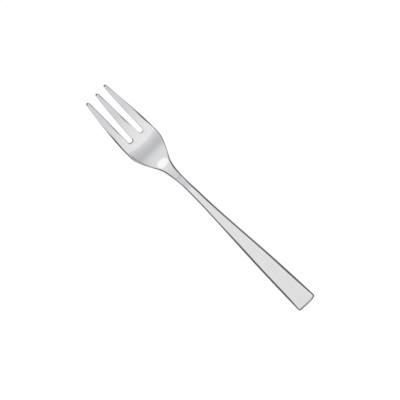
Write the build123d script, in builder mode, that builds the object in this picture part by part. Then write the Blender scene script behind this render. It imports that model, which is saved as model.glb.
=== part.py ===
import os

from build123d import *

# Lengths of the zones along the fork, from the handle end to the tips
handle_length = 70.0
neck_length = 30.0
bowl_length = 21.5
tine_length = 28.5

# Where the points of the outline sit, measured within their zone
handle_rear_run = 30.0       # handle end to the rear width
handle_fore_run = 60.0       # handle end to the fore width
neck_waist_run = 15.0        # handle front to the narrowest place
neck_flare_run = 25.0        # handle front to where the neck starts to flare
bowl_flank_run = 5.0         # bowl start to the middle of the straight flank
bowl_flank_end_run = 10.0    # bowl start to the end of the straight flank
bowl_shoulder_run = 16.2     # bowl start to the widest place
tine_bow_run = 11.3          # tine root to the middle of the outer edge

# Widths across the fork
handle_end_width = 11.1
handle_rear_width = 9.1
handle_fore_width = 5.5
neck_waist_width = 3.7
neck_flare_width = 5.0
bowl_start_width = 7.55
bowl_flank_width = 12.7
bowl_flank_end_width = 17.3
shoulder_width = 19.7
tine_bow_spread = 18.0       # over the outer edges of the tines, part of the way along
tine_tip_spread = 14.2       # over the outer edges of the tines at the tips
middle_root_width = 4.75
middle_tip_width = 1.85
outer_tip_width = 1.85
slot_root_width = 2.7

# Corners of the outline
handle_end_crown = 0.3       # how far the end bows out between its corners
handle_corner_radius = 0.7
tip_corner_radius = 0.75

# Side profile: heights of the underside and thicknesses of the metal
neck_rise = 4.2
tip_rise = 9.6
crest_run = 12.5             # handle front to the top of the neck's arch
fall_run = 2.4               # bowl start to the steepest place between the crest and the bowl's low point
belly_run = 15.5             # bowl start to the lowest place of the bowl
tine_bend_run = 11.5         # tine root to where the tines run on straight
handle_end_thickness = 2.5
neck_thickness = 2.9
bowl_thickness = 1.8
tip_thickness = 1.2

# Dish of the bowl: how far its edges stand over its middle, and where it is deepest; it runs out at the tips
dish_depth = 0.7
dish_run = 7.0               # bowl start to the deepest place

# Rounding of the polished edges
edge_radius = 0.4

# Stations along X that follow from the lengths; the origin is half way along the fork
handle_end = -(handle_length + neck_length + bowl_length + tine_length) / 2
handle_front = handle_end + handle_length
waist = handle_front + neck_waist_run
crest = handle_front + crest_run
bowl_start = handle_front + neck_length
fall = bowl_start + fall_run
belly = bowl_start + belly_run
shoulder = bowl_start + bowl_shoulder_run
dish_deepest = bowl_start + dish_run
tine_root = bowl_start + bowl_length
bend_end = tine_root + tine_bend_run
tip = tine_root + tine_length

# Rounding stays inside the walls and corners that it sits on; the walls at the tips lean
wall_share = 0.33
corner_share = 0.54
width_share = 0.45
tine_corner_radius = min(tip_corner_radius, width_share * min(middle_tip_width, outer_tip_width))
slot_corner_radius = width_share * slot_root_width
thinnest = min(handle_end_thickness, neck_thickness, bowl_thickness, tip_thickness)
rim_radius = min(edge_radius, wall_share * thinnest, corner_share * tine_corner_radius)

# How near to a station a point or an edge counts as lying on it
near = 0.01


def ease(start, end, share):
    """Value on the way from start to end that leaves and arrives level."""
    return start + (end - start) * share * share * (3 - 2 * share)


def climb(x):
    """Share of the way up from the handle end to the crest: straight, then easing off over the crest."""
    over = max(0.0, x - handle_front)
    return (x - handle_end - over * over / (2 * crest_run)) / (handle_length + crest_run / 2)


def drop(x):
    """Share of the way down from the crest to the belly, level at both and steepest at the fall."""
    before = fall - crest
    after = belly - fall
    steepest = 1.5 / (before + after)
    if x <= fall:
        share = (x - crest) / before
        return steepest * before * (share**2 - share**3 / 3)
    share = (belly - x) / after
    return 1 - steepest * after * (share**2 - share**3 / 3)


def underside(x):
    """Height of the underside on the centre line."""
    if x <= crest:
        return neck_rise * climb(x)
    if x <= belly:
        return neck_rise * (1 - drop(x))
    bend = bend_end - belly
    slope = tip_rise / (bend / 2 + tip - bend_end)
    if x <= bend_end:
        return slope * (x - belly) ** 2 / (2 * bend)
    return slope * (bend / 2 + x - bend_end)


def thickness(x):
    """Thickness of the metal on the centre line."""
    if x <= crest:
        return handle_end_thickness + (neck_thickness - handle_end_thickness) * climb(x)
    if x <= belly:
        return neck_thickness + (bowl_thickness - neck_thickness) * drop(x)
    return ease(bowl_thickness, tip_thickness, min(1.0, (x - belly) / (tip - belly)))


def topside(x):
    """Height of the upper face on the centre line."""
    return underside(x) + thickness(x)


def dish(x):
    """Height of a section's edge over its middle, at half the shoulder width from the centre line."""
    if x <= crest or x >= tip:
        return 0.0
    if x <= dish_deepest:
        return ease(0.0, dish_depth, (x - crest) / (dish_deepest - crest))
    return ease(dish_depth, 0.0, (x - dish_deepest) / (tip - dish_deepest))


def corners_at(sketch, x):
    """Corners of a sketch that lie on the station x."""
    return sketch.vertices().filter_by_position(Axis.X, x - near, x + near)


# Blank: the outline with its two slots, standing through the whole height of the fork
overrun = 6.0
blank_floor = -overrun
blank_ceiling = tip_rise + neck_rise + neck_thickness + overrun
slot_end = tine_root - slot_root_width / 2
slot_inner_tip = middle_tip_width / 2
slot_outer_tip = tine_tip_spread / 2 - outer_tip_width
slot_inner_root = middle_root_width / 2
slot_outer_root = slot_inner_root + slot_root_width
handle_end_tangent = (1, -0.025)
tip_tangent = (1, -0.1)
level = (1, 0)
with BuildPart() as blank:
    with BuildSketch(Plane.XY.offset(blank_floor)) as outline:
        with BuildLine():
            Spline(
                (handle_end + handle_end_crown, handle_end_width / 2),
                (handle_end + handle_rear_run, handle_rear_width / 2),
                (handle_end + handle_fore_run, handle_fore_width / 2),
                (waist, neck_waist_width / 2),
                tangents=(handle_end_tangent, level),
            )
            Spline(
                (waist, neck_waist_width / 2),
                (handle_front + neck_flare_run, neck_flare_width / 2),
                (bowl_start, bowl_start_width / 2),
                (bowl_start + bowl_flank_run, bowl_flank_width / 2),
                (bowl_start + bowl_flank_end_run, bowl_flank_end_width / 2),
                (shoulder, shoulder_width / 2),
                tangents=(level, level),
            )
            Spline(
                (shoulder, shoulder_width / 2),
                (tine_root + tine_bow_run, tine_bow_spread / 2),
                (tip, tine_tip_spread / 2),
                tangents=(level, tip_tangent),
            )
            Line((tip, tine_tip_spread / 2), (tip, 0))
            mirror(about=Plane.XZ)
            ThreePointArc(
                (handle_end + handle_end_crown, handle_end_width / 2),
                (handle_end, 0),
                (handle_end + handle_end_crown, -handle_end_width / 2),
            )
        make_face()
        for side in (1, -1):
            with BuildLine():
                Polyline(
                    (slot_end, side * slot_inner_root),
                    (tip, side * slot_inner_tip),
                    (tip + overrun, side * slot_inner_tip),
                    (tip + overrun, side * slot_outer_tip),
                    (tip, side * slot_outer_tip),
                    (slot_end, side * slot_outer_root),
                    close=True,
                )
            make_face(mode=Mode.SUBTRACT)
        fillet(corners_at(outline, handle_end + handle_end_crown), handle_corner_radius)
        fillet(corners_at(outline, slot_end), slot_corner_radius)
        fillet(corners_at(outline, tip), tine_corner_radius)
    extrude(amount=blank_ceiling - blank_floor)


def rim_edges(solid, cut):
    """Edges along the rim of a solid, without those of its upright walls and those at the station cut."""
    lengthwise = solid.edges().filter_by(Axis.Z, reverse=True)
    return lengthwise - lengthwise.filter_by_position(Axis.X, cut - near, cut + near)


# Handle: flat on both sides, thicker toward the neck
with BuildPart() as handle:
    with BuildSketch(Plane.XZ):
        with BuildLine():
            Polyline(
                (handle_end - overrun, underside(handle_end - overrun)),
                (handle_front, underside(handle_front)),
                (handle_front, topside(handle_front)),
                (handle_end - overrun, topside(handle_end - overrun)),
                close=True,
            )
        make_face()
    extrude(amount=handle_end_width, both=True)
    add(blank.part, mode=Mode.INTERSECT)
    fillet(rim_edges(handle, handle_front), rim_radius)
handle.part.label = "handle"

# Pressing: the sheet with the arch of the neck, the dish of the bowl and the lift of the tines.
# It starts inside the handle, so that it leaves the flat handle in line with it.
press_lead = 12.0
press_steps = 20
press_start = handle_front - press_lead
press_pitch = (tip + overrun - press_start) / press_steps
press_half = shoulder_width / 2 + overrun
with BuildPart() as pressing:
    for step in range(press_steps + 1):
        x = press_start + step * press_pitch
        sag = dish(x) * (2 * press_half / shoulder_width) ** 2
        low = underside(x)
        high = topside(x)
        with BuildSketch(Plane.YZ.offset(x)):
            with BuildLine():
                Bezier((-press_half, low + sag), (0, low - sag), (press_half, low + sag))
                Line((press_half, low + sag), (press_half, high + sag))
                Bezier((press_half, high + sag), (0, high - sag), (-press_half, high + sag))
                Line((-press_half, high + sag), (-press_half, low + sag))
            make_face()
    loft()
    add(blank.part, mode=Mode.INTERSECT)
    fillet(rim_edges(pressing, press_start), rim_radius)

# Neck: the arched stretch between the handle and the head
with BuildPart() as neck:
    add(pressing.part)
    split(bisect_by=Plane.YZ.offset(handle_front), keep=Keep.TOP)
    split(bisect_by=Plane.YZ.offset(bowl_start), keep=Keep.BOTTOM)
neck.part.label = "neck"

# Bowl: the dished head up to the roots of the tines, with the round ends of the slots
with BuildPart() as bowl:
    add(pressing.part)
    split(bisect_by=Plane.YZ.offset(bowl_start), keep=Keep.TOP)
    split(bisect_by=Plane.YZ.offset(tine_root), keep=Keep.BOTTOM)
bowl.part.label = "bowl"

# Tines: what stands in front of the roots, one solid each
with BuildPart() as tines:
    add(pressing.part)
    split(bisect_by=Plane.YZ.offset(tine_root), keep=Keep.TOP)
right_blade, middle_blade, left_blade = tines.solids().sort_by(Axis.Y)

with BuildPart() as left_tine:
    add(left_blade)
left_tine.part.label = "left_tine"

with BuildPart() as middle_tine:
    add(middle_blade)
middle_tine.part.label = "middle_tine"

with BuildPart() as right_tine:
    add(right_blade)
right_tine.part.label = "right_tine"

os.makedirs("parts", exist_ok=True)
export_step(handle.part, "parts/handle.step")
export_step(neck.part, "parts/neck.step")
export_step(bowl.part, "parts/bowl.step")
export_step(left_tine.part, "parts/left_tine.step")
export_step(middle_tine.part, "parts/middle_tine.step")
export_step(right_tine.part, "parts/right_tine.step")
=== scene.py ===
import math

import bmesh
import bpy
import numpy as np
from mathutils import Matrix, Vector
from mathutils.geometry import interpolate_bezier


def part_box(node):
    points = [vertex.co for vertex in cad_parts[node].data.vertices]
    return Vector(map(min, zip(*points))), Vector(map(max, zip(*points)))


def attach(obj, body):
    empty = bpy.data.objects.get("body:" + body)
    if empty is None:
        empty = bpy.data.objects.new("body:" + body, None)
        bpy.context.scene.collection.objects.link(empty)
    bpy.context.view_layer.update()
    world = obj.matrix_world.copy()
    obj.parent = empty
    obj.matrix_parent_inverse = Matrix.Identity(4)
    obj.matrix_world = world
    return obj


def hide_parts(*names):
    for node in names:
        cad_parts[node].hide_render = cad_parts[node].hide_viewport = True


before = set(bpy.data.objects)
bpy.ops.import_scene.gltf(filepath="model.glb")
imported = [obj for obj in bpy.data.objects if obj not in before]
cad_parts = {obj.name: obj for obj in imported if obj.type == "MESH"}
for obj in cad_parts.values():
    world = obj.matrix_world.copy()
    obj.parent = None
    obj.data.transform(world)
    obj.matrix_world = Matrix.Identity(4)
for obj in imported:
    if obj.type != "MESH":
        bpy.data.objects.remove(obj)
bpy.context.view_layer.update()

# Pressed blank
# The fork is one strip of stainless steel: its outline and slots are blanked out, its rim is bevelled,
# and the arch of the neck, the dish of the bowl and the lift of the tines are pressed into it.
# Lengths are in metres, in the frame of the solids: +X to the tips, +Z out of the hollow side.
mm = 0.001
handle_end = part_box("handle")[0].x
handle_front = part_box("neck")[0].x
bowl_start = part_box("bowl")[0].x
tine_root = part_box("middle_tine")[0].x
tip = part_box("middle_tine")[1].x

# Half of the outline as four arcs, each with its ends and handles: distance from the handle end, half width
outline_arcs = [
    ((0.3, 5.62), (52.2, 4.27), (60.5, 1.95), (85.0, 1.95)),
    ((85.0, 1.95), (88.2, 1.95), (96.8, 1.92), (101.5, 4.47)),
    ((101.5, 4.47), (111.6, 9.99), (113.2, 9.85), (116.2, 9.85)),
    ((116.2, 9.85), (129.4, 9.85), (139.3, 8.17), (150.0, 7.1)),
]
arc_steps = 40
outline = np.array([
    (handle_end + point.x * mm, point.y * mm)
    for start, leave, arrive, end in outline_arcs
    for point in interpolate_bezier(Vector(start), Vector(leave), Vector(arrive), Vector(end), arc_steps)
])

# The handle's end is crowned, with its crown to the right of the middle
end_crown = -2.6 * mm
end_falls = (0.4 * mm, 0.6 * mm)  # how far the left and the right corner stand back
end_curve = 1.5               # 1 for straight flanks of the crown, more for rounder ones
end_corners = (1.0 * mm, 0.6 * mm)  # radius of the left and the right corner
corner_fade = 4.0 * mm        # how far from an end its rounded corners shift the rows behind it

# The fork isn't quite straight or even: distance from the handle end, and how far the left and the right edge
# stand out from the arcs there
edge_trims = np.array([
    (0, -0.12, 0.08), (6, -0.09, 0.20), (20, -0.02, 0.20), (30, 0.02, 0.11), (45, 0.02, -0.08),
    (60, 0.06, -0.11), (79, 0.16, 0.07), (87, 0.13, -0.19), (92, 0.37, -0.23), (101, 0.40, -0.24),
    (109, 0.22, -0.10), (114, 0.05, -0.16), (117, 0.01, -0.21), (121, 0.07, -0.08), (125, 0.02, 0.05),
    (129, -0.05, -0.05), (136, -0.03, -0.10), (142, 0.00, -0.09), (145, 0.01, -0.04), (147.5, 0.03, 0.02),
]) * mm

# Slots between the tines: round at the root, then opening toward the tips
slot_root_width = 2.7 * mm
slot_end = tine_root - slot_root_width / 2
slot_inner_roots = (2.32 * mm, 2.36 * mm)  # left and right slot
slot_inner_tips = (0.74 * mm, 0.90 * mm)
slot_inner_curves = (1.35, 1.22)           # 1 for a straight edge, more for one that opens late
slot_outer_roots = (5.00 * mm, 5.14 * mm)
slot_outer_tips = (5.36 * mm, 5.58 * mm)
slot_outer_curves = (4.0, 2.0)
middle_lean = -0.28 * mm      # the middle tine stands a little to the right at its tip
tip_corners = (0.62 * mm, 0.92 * mm)      # left and right corner of each tine
short_tips = 0.3 * mm         # the middle and the left tine are ground a little shorter

# Side profile: slope of the upper face in degrees, at distances from the handle end, as far as the belly
face_slopes = [
    (0, 3.2), (78.5, 3.2), (82.6, 0.0), (84.3, -0.9), (86, -2.8), (89.5, -3.4), (91.4, -10.5), (94, -10.9),
    (98.0, -13.1), (101.0, -15.2), (102.8, -15.2), (104.2, -13.5), (106.5, -12.4), (109, -10.2),
    (111, -8.1), (113, -5.5), (115.4, 0.0),
]
tip_rise = 9.6 * mm
table_gap = 0.02 * mm         # keeps the smoothed underside off the table
crest = handle_end + 82.5 * mm
belly = handle_end + face_slopes[-1][0] * mm
bend_end = tine_root + 11.5 * mm
handle_end_thickness = 2.5 * mm
neck_thickness = 2.9 * mm
bowl_thickness = 1.8 * mm
tip_thickness = 1.2 * mm
dish_depth = 0.78 * mm
press_skew = 0.05             # the pressing reaches a little further along on the left
dish_deepest = bowl_start + 7.0 * mm
dish_out = tine_root + 14.5 * mm
dish_reach = 9.85 * mm        # how far from the centre line the dish has its depth
face_steps = 800
face_x = np.linspace(handle_end, belly, face_steps)
face_slope = np.tan(np.radians(np.interp((face_x - handle_end) / mm, *zip(*face_slopes))))
face_climb = np.cumsum(face_slope) * (face_x[1] - face_x[0])
face_z = bowl_thickness + face_climb - face_climb[-1]

# Bevel of the rim: distance from the handle end, and how far it reaches in from the left and the right edge
rims = np.array([
    (0, 0.69, 0.69), (8, 1.40, 1.08), (20, 1.31, 1.25), (30, 1.36, 1.03), (45, 1.28, 0.98),
    (60, 0.62, 0.92), (70, 0.70, 0.98), (84, 0.70, 0.93), (89, 0.51, 0.57), (97, 0.76, 0.92),
    (101, 0.74, 0.76), (105, 0.52, 0.38), (110, 0.38, 0.55), (113, 0.49, 0.51), (115, 0.67, 0.47),
    (117, 0.65, 0.36), (121, 0.74, 0.68), (125, 0.89, 1.04), (126.5, 0.89, 1.02), (128.5, 0.74, 0.66),
    (130, 0.62, 0.51), (132, 0.30, 0.38), (134, 0.20, 0.24), (137, 0.14, 0.22), (144, 0.10, 0.18),
    (147, 0.12, 0.40), (148.3, 0.24, 0.38), (149.15, 0.36, 0.40),
]) * mm

# Bevel along the slots: distance from the handle end, and how far it reaches in on the edges that look left,
# on the left tine's edge that looks right and on the middle tine's
slot_rims = np.array([
    (120, 0.12, 0.15, 0.10), (126, 0.12, 0.27, 0.11), (127.6, 0.12, 0.38, 0.14), (128.6, 0.12, 0.50, 0.52),
    (130, 0.12, 0.55, 0.64), (131.5, 0.12, 0.45, 0.60), (134, 0.12, 0.38, 0.30), (137, 0.12, 0.34, 0.16),
    (144, 0.12, 0.27, 0.28), (147, 0.12, 0.42, 0.42), (148.9, 0.12, 0.42, 0.42), (149.15, 0.40, 0.42, 0.42),
]) * mm
slot_rim_end = 0.52 * mm      # round a slot's end, in its middle
slot_rim_corners = (          # where it turns into the inner and outer edge of the left and the right slot
    (0.66 * mm, 0.40 * mm),
    (0.27 * mm, 0.27 * mm),
)
rim_fall_share = 0.64         # how far the bevel drops, as a share of its reach
rim_fall_limit = 0.40         # and at most this share of the thickness
rim_fall_below = 0.5          # drop of the bevel underneath, as a share of that above
slot_support = 1.25           # where the flat face starts beside a slot, in reaches from the slot's edge

# Where the flat face starts behind the rim: distance from the handle end, and how many reaches of the bevel
# it lies in from the left and the right edge, fewer where the bevel turns crisply into the face
face_starts = np.array([
    (42, 1.60, 1.37), (56, 1.25, 1.25), (112, 1.25, 1.25), (115, 1.10, 1.25), (121, 1.08, 1.20),
    (124, 1.12, 1.05), (127, 1.25, 1.05), (129.5, 1.25, 1.25),
]) * (mm, 1, 1)
rim_lip = 0.09                # where the bevel turns over into the side wall, in reaches from the edge
wall_lean = 0.13              # how far the side walls draw in below the bevel, as a share of the thickness

# A narrow flat is ground along the left shoulder of the bowl, one step lower than the face: distance from the
# handle end, depth of the step there, and how widely its lines are spread
ground_flat = np.array([
    (102, 0.0, 1.0), (104.5, 0.0, 0.25), (106.5, 0.20, 0.35), (110, 0.38, 1.0),
    (115.2, 0.42, 1.0), (117.2, 0.09, 0.3), (119.2, 0.0, 0.2), (121.5, 0.0, 1.0),
]) * (mm, mm, 1)
flat_step = (0.28 * mm, 0.75 * mm, 0.90 * mm)  # foot, head and support of the step, inside the rim's bevel

# The tips are cut off steeply
tip_cut_reach = 0.92 * mm
tip_cut_slope = 1.06
least_distance = 1e-9         # keeps a division off zero in the middle of a tip


def half_width(x):
    """Half the width of the outline."""
    return float(np.interp(x, outline[:, 0], outline[:, 1]))


def ease(start, end, share):
    """Value on the way from start to end that leaves and arrives level."""
    share = min(1.0, max(0.0, share))
    return start + (end - start) * share * share * (3 - 2 * share)


def on_side(pair, side):
    """The one of two values that belongs to the left or the right side."""
    return pair[0] if side > 0 else pair[1]


def at_station(table, x, column):
    """Value in a column of a table of distances from the handle end, read between its rows."""
    return float(np.interp(x - handle_end, table[:, 0], table[:, column]))


def thickness(x):
    """Thickness of the metal."""
    if x <= crest:
        climb = (x - handle_end) / (crest - handle_end)
        return handle_end_thickness + (neck_thickness - handle_end_thickness) * climb
    if x <= belly:
        return ease(neck_thickness, bowl_thickness, (x - crest) / (belly - crest))
    return ease(bowl_thickness, tip_thickness, (x - belly) / (tip - belly))


def face(x):
    """Height of the upper face on the centre line."""
    if x <= belly:
        return float(np.interp(x, face_x, face_z))
    bend = bend_end - belly
    slope = tip_rise / (bend / 2 + tip - bend_end)
    bent = min(x, bend_end) - belly
    return slope * (bent**2 / (2 * bend) + max(0.0, x - bend_end)) + thickness(x)


def dish(x):
    """Height of a section's edge over its middle, at the reach of the dish."""
    if x <= dish_deepest:
        return ease(0.0, dish_depth, (x - crest) / (dish_deepest - crest))
    return ease(dish_depth, 0.0, (x - dish_deepest) / (dish_out - dish_deepest))


def rim_reach(x, side):
    """Reach of the bevel on the left or the right edge."""
    return at_station(rims, x, on_side((1, 2), side))


def slot_reach(x, side, looks, off_middle=1.0):
    """Reach of the bevel on a slot's edge that looks to the left or the right, and round the slot's end."""
    edge = 1 if looks > 0 else on_side((2, 3), side)
    reach = at_station(slot_rims, x, edge)
    corner_reach = on_side(on_side(slot_rim_corners, side), looks * side)
    end_reach = slot_rim_end + (corner_reach - slot_rim_end) * min(1.0, off_middle**2)
    return ease(end_reach, reach, (x - slot_end) / (tine_root - slot_end))


def slot_edges(x, side):
    """Distances of a slot's outer and inner edge from the centre line."""
    along = max(0.0, (x - slot_end) / (tip - slot_end))
    outer_root, outer_tip = on_side(slot_outer_roots, side), on_side(slot_outer_tips, side)
    inner_root, inner_tip = on_side(slot_inner_roots, side), on_side(slot_inner_tips, side)
    return (
        outer_root + (outer_tip - outer_root) * along ** on_side(slot_outer_curves, side),
        inner_root + (inner_tip - inner_root) * along ** on_side(slot_inner_curves, side),
    )


def rim_insets(x, side):
    """Distances of the lines of the rim from the edge: wall, lip, bevel, face and the step of the flat."""
    reach = rim_reach(x, side)
    support = reach * at_station(face_starts, x, on_side((1, 2), side))
    spread = at_station(ground_flat, x, 2) if side > 0 else 1.0
    steps = [support + spread * step * half_width(x) / dish_reach for step in flat_step]
    return [0.0, rim_lip * reach, reach, support] + steps


def across(x, side):
    """Distances from the centre line of the lines of a row on one side, from the edge to the centre line."""
    station = max(x, slot_end)
    outer, inner = slot_edges(station, side)
    outer_rim, inner_rim = slot_reach(station, side, -side), slot_reach(station, side, side)
    insets = rim_insets(x, side)
    root_inside = half_width(station) - rim_insets(station, side)[-1]
    lines = [(root_inside + outer + slot_support * outer_rim) / 2]
    lines += [outer + share * outer_rim for share in (slot_support, 1.0, rim_lip, 0.0)]
    lines += [outer + (inner - outer) * share for share in (0.25, 0.5, 0.75)]
    lines += [inner - share * inner_rim for share in (0.0, rim_lip, 1.0, slot_support)] + [0.0]
    # Behind the slots the lines close up with the outline
    squeeze = (half_width(x) - insets[-1]) / root_inside
    return [half_width(x) - inset for inset in insets] + [line * squeeze for line in lines]


flat_line = 4                 # the outer lines, as far as this one, lie on the flat
slot_lines = (11, 15)         # the lines along the two sides of a slot
half_lines = len(across(tip, 1))
line_count = 2 * half_lines - 1

# Rows of the blank from the handle end to the tips, closer together where the shape bends: single rows at
# both ends, and between them stretches with their start, their end and their number of rows
row_runs = [0.0, 0.15, 1.1, 1.4]
row_stretches = [(3.5, 70.0, 8), (70.0, 77.0, 3), (77.0, 98.0, 20), (98.0, 105.0, 11), (105.0, 119.0, 12)]
tine_rows = 12
tip_row_runs = (2.6, 1.8, 1.4, 1.1, 0.92, 0.6, 0.3, 0.05, 0.0)
for start, end, count in row_stretches:
    row_runs += list(np.linspace(start, end, count, endpoint=False))
row_runs.append(row_stretches[-1][1])
rows = [handle_end + run * mm for run in row_runs]
rows += [slot_end - share * slot_rim_end for share in (slot_support, 1.0, rim_lip, 0.0)]
rows += [slot_end + share * slot_root_width / 2 for share in (0.2, 0.5)]
rows += list(np.linspace(tine_root, tip - corner_fade, tine_rows))
rows += [tip - run * mm for run in tip_row_runs]
slot_row = rows.index(slot_end)
slot_round_reach = 1.5 * mm   # how far round a slot's end the lines follow its curve

blank_cage = bmesh.new()
bmesh.ops.create_grid(blank_cage, x_segments=len(rows) - 1, y_segments=line_count - 1, size=1.0)


def place_in_grid(vert):
    """Row and line of a point of the grid."""
    return (round((vert.co.x + 1) / 2 * (len(rows) - 1)), round((vert.co.y + 1) / 2 * (line_count - 1)))


def in_slot(face):
    """Whether a face of the grid lies in a slot."""
    places = [place_in_grid(vert) for vert in face.verts]
    first_row = min(row for row, line in places)
    nearest = [min(line, line_count - 1 - line) for row, line in places]
    return first_row >= slot_row and min(nearest) >= slot_lines[0] and max(nearest) <= slot_lines[1]


bmesh.ops.delete(blank_cage, geom=[face for face in blank_cage.faces if in_slot(face)], context="FACES")
rim_places = {place_in_grid(vert) for vert in blank_cage.verts if vert.is_boundary}
lifted = bmesh.ops.extrude_face_region(blank_cage, geom=blank_cage.faces[:], use_keep_orig=True)
bmesh.ops.translate(
    blank_cage, vec=(0, 0, 1), verts=[part for part in lifted["geom"] if isinstance(part, bmesh.types.BMVert)]
)


def corner_pull(inset, radius):
    """How far a rounded corner stands back from the end, at a distance from the side."""
    if inset >= radius:
        return 0.0
    return radius - math.sqrt(radius**2 - (radius - max(0.0, inset)) ** 2)


def corner_gap(inset, run, radius):
    """Distance from the edge of an end with rounded corners, at distances from its side and from the end."""
    if inset >= radius or run >= radius:
        return min(inset, run)
    return radius - math.hypot(radius - inset, radius - run)


def bevel_drop(x, y, side, edge_gap):
    """How far the bevel lies below the face at a point of the flat blank."""
    outer, inner = slot_edges(x, side)
    slot_gap = max(slot_end - x, y - outer, inner - y)
    off_middle = (2 * y - outer - inner) / (outer - inner)
    slot_share = slot_reach(x, side, -side if off_middle > 0 else side, off_middle) - slot_gap
    dish_slope = 2 * dish(x) * half_width(x) / dish_reach**2
    rim_share = max(0.0, rim_reach(x, side) - edge_gap)
    bevel = max((rim_fall_share + dish_slope) * rim_share, rim_fall_share * slot_share)
    return min(bevel, rim_fall_limit * thickness(x))


def tip_drop(inset, run, side_reach):
    """How far a tine's cut end lies below its face, at distances from the tine's side and from its end."""
    if run >= tip_cut_reach:
        return 0.0
    from_centre = max(least_distance, math.hypot(tip_cut_reach - inset, tip_cut_reach - run))
    front = (tip_cut_reach - run) / from_centre
    reach = side_reach + (tip_cut_reach - side_reach) * front
    slope = rim_fall_share + (tip_cut_slope - rim_fall_share) * front
    return slope * max(0.0, reach - (tip_cut_reach - from_centre))


def end_fall(y):
    """How far the handle's end stands back from its crown."""
    fall = end_falls[0] if y > end_crown else end_falls[1]
    reach = half_width(handle_end) + math.copysign(end_crown, y - end_crown)
    return fall * (abs(y - end_crown) / abs(reach)) ** end_curve


def round_slot_end(x, y, side):
    """Moves a point near a slot's end so that the lines go round the end in half circles."""
    inner_root, outer_root = on_side(slot_inner_roots, side), on_side(slot_outer_roots, side)
    half_slot = (outer_root - inner_root) / 2
    ahead, aside = x - tine_root, y - side * (inner_root + half_slot)
    square = max(abs(ahead), abs(aside))
    if ahead >= 0 or square > half_slot + slot_round_reach:
        return x, y
    share = 1 - max(0.0, square - half_slot) / slot_round_reach
    shrink = 1 + share * (square / math.hypot(ahead, aside) - 1)
    return x + ahead * (shrink - 1), y + aside * (shrink - 1)


def inward(row, nearest, side):
    """Which way the metal lies from a side edge or a slot's edge, across the fork."""
    if nearest == 0:
        return -side
    if row <= slot_row or nearest not in slot_lines:
        return 0
    return side if nearest == slot_lines[0] else -side


for vert in blank_cage.verts:
    row, line = place_in_grid(vert)
    upper = vert.co.z > 0.5
    side = 1 if line < half_lines else -1
    nearest = min(line, line_count - 1 - line)
    x = rows[row]
    lines = across(x, side)
    y = lines[nearest]
    # The handle's end
    inset = lines[0] - y
    end_corner = on_side(end_corners, side)
    behind = max(0.0, 1 - (x - handle_end) / corner_fade)
    end_pull = behind * corner_pull(inset, end_corner)
    fall = bevel_drop(x, y, side, corner_gap(inset, x - handle_end + end_pull, end_corner))
    # The tips of the tines
    ahead = max(0.0, 1 - (tip - x) / corner_fade)
    if nearest > slot_lines[0]:
        tine_inset, side_reach, looks = lines[slot_lines[1]] - y, slot_reach(x, side, side), side
    elif inset < y - lines[slot_lines[0]]:
        tine_inset, side_reach, looks = inset, rim_reach(x, side), side
    else:
        tine_inset, side_reach, looks = y - lines[slot_lines[0]], slot_reach(x, side, -side), -side
    ground = 0.0 if side < 0 and nearest <= slot_lines[0] else short_tips
    tip_pull = ahead * corner_pull(tine_inset, on_side(tip_corners, looks))
    if upper:
        fall = max(fall, tip_drop(tine_inset, tip - x + tip_pull, side_reach))
        if side > 0 and nearest <= flat_line:
            fall += at_station(ground_flat, x, 1)
    leans = not upper and (row, line) in rim_places
    lean_in = wall_lean * thickness(x) * inward(row, nearest, side) if leans else 0.0
    x += behind * end_fall(side * y) + end_pull - tip_pull - ahead * ground
    top = face(x - press_skew * side * y) + dish(x) * (y / dish_reach) ** 2
    z = top - fall if upper else top - thickness(x) + rim_fall_below * fall
    y = side * y + lean_in
    if nearest >= slot_lines[1]:
        y += middle_lean * max(0.0, (x - tine_root) / (tip - tine_root))
    x, y = round_slot_end(x, y, side)
    left, right = (at_station(edge_trims, x, edge) for edge in (1, 2))
    y += (left - right) / 2 + (left + right) / 2 * y / half_width(x)
    vert.co = (x, y, z + table_gap)

bmesh.ops.recalc_face_normals(blank_cage, faces=blank_cage.faces)
blank_mesh = bpy.data.meshes.new("blank")
blank_cage.to_mesh(blank_mesh)
blank_cage.free()
blank = bpy.data.objects.new("blank", blank_mesh)
bpy.context.scene.collection.objects.link(blank)
smoothing_levels = 2
smoothing = blank.modifiers.new("smoothing", "SUBSURF")
smoothing.levels = smoothing_levels
smoothing.render_levels = smoothing_levels
pressed = bpy.data.meshes.new_from_object(blank.evaluated_get(bpy.context.evaluated_depsgraph_get()))
bpy.data.objects.remove(blank)
bpy.data.meshes.remove(blank_mesh)

# Polished stainless steel, with hairlines left by the wheel along the fork and a few marks of use, and
# painted light and shade along the fork in its colour
steel_dark = (0.764, 0.764, 0.768, 1.0)
steel_light = (0.795, 0.795, 0.799, 1.0)
noise_span = (0.3, 0.7)       # values between which a noise mostly lies
cloud_scale = (90.0, 160.0, 160.0)
hairline_scale = (120.0, 5200.0, 5200.0)
mark_kinds = [                # scale, turn in degrees, values of the noise where a mark starts and is full
    ((110.0, 2600.0, 900.0), 24, (0.70, 0.74)),
    ((90.0, 2300.0, 900.0), -33, (0.71, 0.75)),
]
cloud_roughness = (0.035, 0.055)
hairline_roughness = 0.02
mark_roughness = 0.06
groove_strength = 0.01
groove_depth = 0.01 * mm

# Painted light and shade along the fork, standing in for lighter and darker reflections, brightest on the
# neck: distance from the handle end, and the share of the steel's colour there
painted_light_stops = [
    (0, 0.887), (25, 0.907), (72, 0.893), (81, 0.92), (84, 0.965), (86.5, 0.945), (90.3, 1.06), (94, 0.953),
]
steel = bpy.data.materials.new("polished_steel")
steel.use_nodes = True
steel_nodes = steel.node_tree.nodes
steel_links = steel.node_tree.links
steel_shader = steel_nodes["Principled BSDF"]
steel_shader.inputs["Metallic"].default_value = 1.0
steel_place = steel_nodes.new("ShaderNodeTexCoord")


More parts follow.
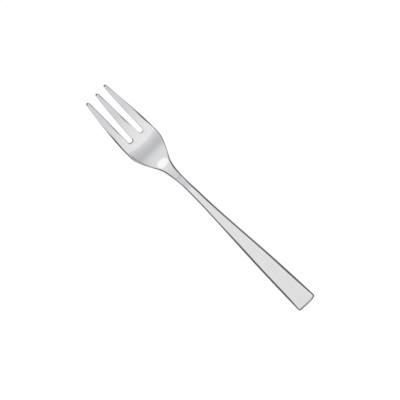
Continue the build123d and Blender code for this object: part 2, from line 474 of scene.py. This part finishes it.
def steel_noise(scale, detail, turn=0.0):
    """Noise on the metal with its own scale along, across and through the fork, turned about Z."""
    mapping = steel_nodes.new("ShaderNodeMapping")
    mapping.inputs["Rotation"].default_value = (0.0, 0.0, turn)
    mapping.inputs["Scale"].default_value = scale
    noise = steel_nodes.new("ShaderNodeTexNoise")
    noise.inputs["Scale"].default_value = 1.0
    noise.inputs["Detail"].default_value = detail
    steel_links.new(steel_place.outputs["Object"], mapping.inputs["Vector"])
    steel_links.new(mapping.outputs["Vector"], noise.inputs["Vector"])
    return noise.outputs["Fac"]


def to_range(tree, value, low, high, to_low, to_high):
    """A value of a node tree, taken from one range to another."""
    spread = tree.nodes.new("ShaderNodeMapRange")
    for name, number in zip(("From Min", "From Max", "To Min", "To Max"), (low, high, to_low, to_high)):
        spread.inputs[name].default_value = number
    tree.links.new(value, spread.inputs["Value"])
    return spread.outputs["Result"]


def fill_ramp(ramp, stops):
    """Gives a ramp its stops, each with a place from 0 to 1 and a colour."""
    elements = ramp.color_ramp.elements
    while len(elements) < len(stops):
        elements.new(1.0)
    for element, (place, colour) in zip(elements, stops):
        element.position = place
        element.color = colour


def steel_sum(first, second):
    """Two values on the metal, added."""
    total = steel_nodes.new("ShaderNodeMath")
    total.operation = "ADD"
    steel_links.new(first, total.inputs[0])
    steel_links.new(second, total.inputs[1])
    return total.outputs["Value"]


cloudiness = steel_noise(cloud_scale, detail=3.0)
hairlines = steel_noise(hairline_scale, detail=2.0)
marks = steel_sum(*(
    to_range(steel.node_tree, steel_noise(scale, 1.0, math.radians(turn)), *levels, 0.0, 1.0)
    for scale, turn, levels in mark_kinds
))
tone = steel_nodes.new("ShaderNodeValToRGB")
fill_ramp(tone, list(zip(noise_span, (steel_dark, steel_light))))
steel_links.new(cloudiness, tone.inputs["Fac"])
steel_axes = steel_nodes.new("ShaderNodeSeparateXYZ")
steel_links.new(steel_place.outputs["Object"], steel_axes.inputs["Vector"])
# Painted light and shade: the steel's colour made lighter or darker along the fork
painted_light_ramp = steel_nodes.new("ShaderNodeValToRGB")
fill_ramp(painted_light_ramp, [
    (run * mm / (tip - handle_end), (share, share, share, 1.0)) for run, share in painted_light_stops
])
along_fork = to_range(steel.node_tree, steel_axes.outputs["X"], handle_end, tip, 0.0, 1.0)
steel_links.new(along_fork, painted_light_ramp.inputs["Fac"])
# The steel's random tone, times the painted light and shade along the fork
shade = steel_nodes.new("ShaderNodeMix")
shade.data_type = "RGBA"
shade.blend_type = "MULTIPLY"
shade.inputs["Factor"].default_value = 1.0
steel_links.new(tone.outputs["Color"], shade.inputs["A"])
steel_links.new(painted_light_ramp.outputs["Color"], shade.inputs["B"])
steel_links.new(shade.outputs["Result"], steel_shader.inputs["Base Color"])
polish = steel_sum(
    to_range(steel.node_tree, cloudiness, *noise_span, *cloud_roughness),
    steel_sum(
        to_range(steel.node_tree, hairlines, *noise_span, 0.0, hairline_roughness),
        to_range(steel.node_tree, marks, 0.0, 1.0, 0.0, mark_roughness),
    ),
)
steel_links.new(polish, steel_shader.inputs["Roughness"])
grooves = steel_nodes.new("ShaderNodeBump")
grooves.inputs["Strength"].default_value = groove_strength
grooves.inputs["Distance"].default_value = groove_depth
steel_links.new(steel_sum(hairlines, marks), grooves.inputs["Height"])
steel_links.new(grooves.outputs["Normal"], steel_shader.inputs["Normal"])


cut_tolerance = 1e-8          # how near to a cut a point counts as lying on it


def cut_from_blank(name, planes):
    """A piece of the blank between planes, closed at its cuts, with the blank's own smooth normals."""
    zone = bmesh.new()
    zone.from_mesh(pressed)
    smooth = zone.verts.layers.float_vector.new("smooth")
    for vert in zone.verts:
        vert[smooth] = vert.normal
    for point, outward in planes:
        cut = bmesh.ops.bisect_plane(
            zone, geom=zone.verts[:] + zone.edges[:] + zone.faces[:], dist=cut_tolerance,
            plane_co=point, plane_no=outward, clear_outer=True,
        )
        cut_edges = [part for part in cut["geom_cut"] if isinstance(part, bmesh.types.BMEdge)]
        if cut_edges:
            bmesh.ops.edgeloop_fill(zone, edges=cut_edges)
    zone.faces.index_update()
    flat_faces = {face.index for face in zone.faces if len(face.verts) > 4}
    mesh = bpy.data.meshes.new(name)
    zone.to_mesh(mesh)
    zone.free()
    mesh.shade_smooth()
    kept = mesh.attributes["smooth"].data
    normals = []
    for face in mesh.polygons:
        for corner in face.loop_indices:
            vert = mesh.loops[corner].vertex_index
            smoothed = Vector(kept[vert].vector).normalized()
            normals.append(face.normal if face.index in flat_faces else smoothed)
    mesh.normals_split_custom_set([tuple(normal) for normal in normals])
    mesh.attributes.remove(mesh.attributes["smooth"])
    mesh.materials.append(steel)
    piece = bpy.data.objects.new(name, mesh)
    bpy.context.scene.collection.objects.link(piece)
    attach(piece, "root")
    return piece


forward, backward = (1, 0, 0), (-1, 0, 0)

# Handle
# The flat, tapering end of the strip that the hand holds, with a slightly crowned end.
# Both faces are ground flat and polished, and the rim is bevelled all the way round.
handle = cut_from_blank("steel_handle", [((handle_front, 0, 0), forward)])
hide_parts("handle")

# Neck
# The narrow stretch between the handle and the head, the thickest metal of the fork.
# It is pressed into an arch, so that the head dips below the handle's line.
neck = cut_from_blank("steel_neck", [((handle_front, 0, 0), backward), ((bowl_start, 0, 0), forward)])
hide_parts("neck")

# Bowl
# The flared head from the neck to the roots of the tines, with the round ends of both slots.
# It is rolled thinner than the neck and pressed into a shallow dish.
bowl = cut_from_blank("steel_bowl", [((bowl_start, 0, 0), backward), ((tine_root, 0, 0), forward)])
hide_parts("bowl")

# Tines
# Three slim prongs that lift from the bowl and thin out to rounded, steeply cut tips.
# They are what the two slots leave of the strip, so they grow out of the bowl without a seam.
slot_middle = 3.4 * mm
tine_start = ((tine_root, 0, 0), backward)
left_tine = cut_from_blank("steel_left_tine", [tine_start, ((tip, slot_middle, 0), (0, -1, 0))])
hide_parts("left_tine")
middle_tine = cut_from_blank(
    "steel_middle_tine",
    [tine_start, ((tip, slot_middle, 0), (0, 1, 0)), ((tip, -slot_middle, 0), (0, -1, 0))],
)
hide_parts("middle_tine")
right_tine = cut_from_blank("steel_right_tine", [tine_start, ((tip, -slot_middle, 0), (0, 1, 0))])
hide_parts("right_tine")
bpy.data.meshes.remove(pressed)

# Floor
# A plain white table top that the fork lies on, large enough to fill the view from any side.
# It is lit from below like a light box, so that it stays white right up to the fork.
floor_half = 6.0
floor_white = (0.93, 0.93, 0.93, 1.0)
floor_glow = 0.7              # share of the white that the light box under the table top gives
floor_glow_strength = 1.23    # fills up what the studio light leaves short of white
floor_mesh = bpy.data.meshes.new("floor")
floor_cage = bmesh.new()
bmesh.ops.create_grid(floor_cage, x_segments=1, y_segments=1, size=floor_half)
floor_cage.to_mesh(floor_mesh)
floor_cage.free()
floor = bpy.data.objects.new("floor", floor_mesh)
bpy.context.scene.collection.objects.link(floor)
floor_paint = bpy.data.materials.new("white_table")
floor_paint.use_nodes = True
floor_nodes = floor_paint.node_tree.nodes
floor_links = floor_paint.node_tree.links
floor_nodes.remove(floor_nodes["Principled BSDF"])
floor_matt = floor_nodes.new("ShaderNodeBsdfDiffuse")
floor_matt.inputs["Color"].default_value = floor_white
floor_lit = floor_nodes.new("ShaderNodeEmission")
floor_lit.inputs["Strength"].default_value = floor_glow_strength
floor_path = floor_nodes.new("ShaderNodeLightPath")
floor_seen = floor_path.outputs["Is Camera Ray"]
for ray in ("Is Glossy Ray", "Is Transmission Ray"):
    either = floor_nodes.new("ShaderNodeMath")
    either.operation = "MAXIMUM"
    floor_links.new(floor_seen, either.inputs[0])
    floor_links.new(floor_path.outputs[ray], either.inputs[1])
    floor_seen = either.outputs["Value"]
floor_share = floor_nodes.new("ShaderNodeMath")
floor_share.operation = "MULTIPLY"
floor_share.inputs[1].default_value = floor_glow
floor_links.new(floor_seen, floor_share.inputs[0])
floor_mix = floor_nodes.new("ShaderNodeMixShader")
floor_links.new(floor_share.outputs["Value"], floor_mix.inputs["Fac"])
floor_links.new(floor_matt.outputs["BSDF"], floor_mix.inputs[1])
floor_links.new(floor_lit.outputs["Emission"], floor_mix.inputs[2])
floor_links.new(floor_mix.outputs["Shader"], floor_nodes["Material Output"].inputs["Surface"])
floor_mesh.materials.append(floor_paint)

# Studio light
# A wide soft panel over the handle's side with its edge right over the fork, a weaker one beyond the gap,
# and a small lamp over the tines; the room to the sides is dim, which draws the dark line along the rim.
panel_stops = [               # place along X on the sky, and the panel's brightness there
    (-1.00, (0.30, 0.305, 0.32)), (-0.80, (0.38, 0.38, 0.395)), (-0.69, (0.80, 0.795, 0.835)),
    (-0.62, (0.855, 0.85, 0.89)), (-0.50, (0.935, 0.935, 0.94)),
    (-0.30, (1.00, 1.00, 1.005)), (-0.14, (1.05, 1.05, 1.055)), (0.012, (1.07, 1.07, 1.085)),
    (0.030, (0.88, 0.885, 0.90)), (0.09, (0.83, 0.835, 0.86)), (0.16, (0.75, 0.756, 0.782)),
    (0.31, (0.652, 0.658, 0.688)), (0.355, (0.728, 0.733, 0.756)), (0.40, (0.875, 0.88, 0.863)),
    (0.455, (0.955, 0.96, 0.955)), (1.00, (0.95, 0.95, 0.95)),
]
panel_peak = 1.2              # brightness that the ramp's full white stands for
room_tone = (0.165, 0.17, 0.18, 1.0)
room_edge = (0.66, 0.74)      # heights on the sky where the room ends and the panel starts
panel_turn = (-0.40, -0.15)   # to the right the panel is a little weaker
panel_turn_share = 0.93
studio = bpy.data.worlds.new("studio")
bpy.context.scene.world = studio
studio.use_nodes = True
studio_nodes = studio.node_tree.nodes
studio_links = studio.node_tree.links
sky_place = studio_nodes.new("ShaderNodeTexCoord")
sky_axes = studio_nodes.new("ShaderNodeSeparateXYZ")
studio_links.new(sky_place.outputs["Generated"], sky_axes.inputs["Vector"])
panel = studio_nodes.new("ShaderNodeValToRGB")
fill_ramp(panel, [
    ((place + 1) / 2, [channel / panel_peak for channel in tint] + [1.0]) for place, tint in panel_stops
])
along_sky = to_range(studio.node_tree, sky_axes.outputs["X"], -1.0, 1.0, 0.0, 1.0)
studio_links.new(along_sky, panel.inputs["Fac"])
sky_mix = studio_nodes.new("ShaderNodeMix")
sky_mix.data_type = "RGBA"
sky_mix.inputs["A"].default_value = [channel / panel_peak for channel in room_tone]
over_room = to_range(studio.node_tree, sky_axes.outputs["Z"], *room_edge, 0.0, 1.0)
studio_links.new(over_room, sky_mix.inputs["Factor"])
panel_turned = studio_nodes.new("ShaderNodeVectorMath")
panel_turned.operation = "SCALE"
studio_links.new(panel.outputs["Color"], panel_turned.inputs["Vector"])
across_sky = to_range(studio.node_tree, sky_axes.outputs["Y"], *panel_turn, panel_turn_share, 1.0)
studio_links.new(across_sky, panel_turned.inputs["Scale"])
studio_links.new(panel_turned.outputs["Vector"], sky_mix.inputs["B"])
studio_links.new(sky_mix.outputs["Result"], studio_nodes["Background"].inputs["Color"])
studio_nodes["Background"].inputs["Strength"].default_value = panel_peak


def set_up(thing, place, right, up, back):
    """Sets up a lamp or a camera at a place, with its right, its top and its back in three directions."""
    bpy.context.scene.collection.objects.link(thing)
    thing.matrix_world = Matrix.Translation(place) @ Matrix((right, up, back)).transposed().to_4x4()


# The small lamp: it shines on the steep heel of the bowl from in front of the tines
heel_x = handle_end + 101.6 * mm
heel = Vector((heel_x, 0, face(heel_x)))
lamp_distance = 1.0
lamp_lean = math.radians(33.5)
lamp_aside = -0.129
lamp_turn = 0.09              # it hangs a little askew
lamp_size = (0.184, 0.136)
lamp_power = 0.0192
lamp_colour = (1.0, 1.0, 0.91)
lamp_way = Vector((math.sin(lamp_lean), lamp_aside, math.cos(lamp_lean))).normalized()
lamp_side = Vector((lamp_turn, 1, 0))
lamp_across = (lamp_side - lamp_side.dot(lamp_way) * lamp_way).normalized()
lamp_light = bpy.data.lights.new("lamp", "AREA")
lamp_light.shape = "ELLIPSE"
lamp_light.size, lamp_light.size_y = lamp_size
lamp_light.energy = lamp_power
lamp_light.color = lamp_colour
lamp = bpy.data.objects.new("lamp", lamp_light)
set_up(lamp, heel + lamp_distance * lamp_way, lamp_across, lamp_way.cross(lamp_across), lamp_way)

# Camera
# It looks almost straight down through a long lens, a little from the left, with the tines to the upper left.
view_distance = 6.0
view_width = 200.8 * mm
view_tilt = math.radians(5.92)
view_pitch = math.radians(-0.99)
view_roll = math.radians(135.65)
view_offset = (-0.40 * mm, 0.085 * mm)
sensor_width = 36.0           # millimetres, as Blender counts it
look_back = Vector((
    math.sin(view_pitch),
    math.sin(view_tilt) * math.cos(view_pitch),
    math.cos(view_tilt) * math.cos(view_pitch),
))
level_axis = (Vector((1, 0, 0)) - look_back.x * look_back).normalized()
cross_axis = look_back.cross(level_axis)
image_right = math.cos(view_roll) * level_axis - math.sin(view_roll) * cross_axis
image_up = math.sin(view_roll) * level_axis + math.cos(view_roll) * cross_axis
lens = bpy.data.cameras.new("camera")
lens.sensor_width = sensor_width
lens.lens = sensor_width * view_distance / view_width
camera = bpy.data.objects.new("camera", lens)
camera_place = view_distance * look_back + view_offset[0] * image_right + view_offset[1] * image_up
set_up(camera, camera_place, image_right, image_up, look_back)
bpy.context.scene.camera = camera
bpy.context.scene.view_settings.view_transform = "Standard"
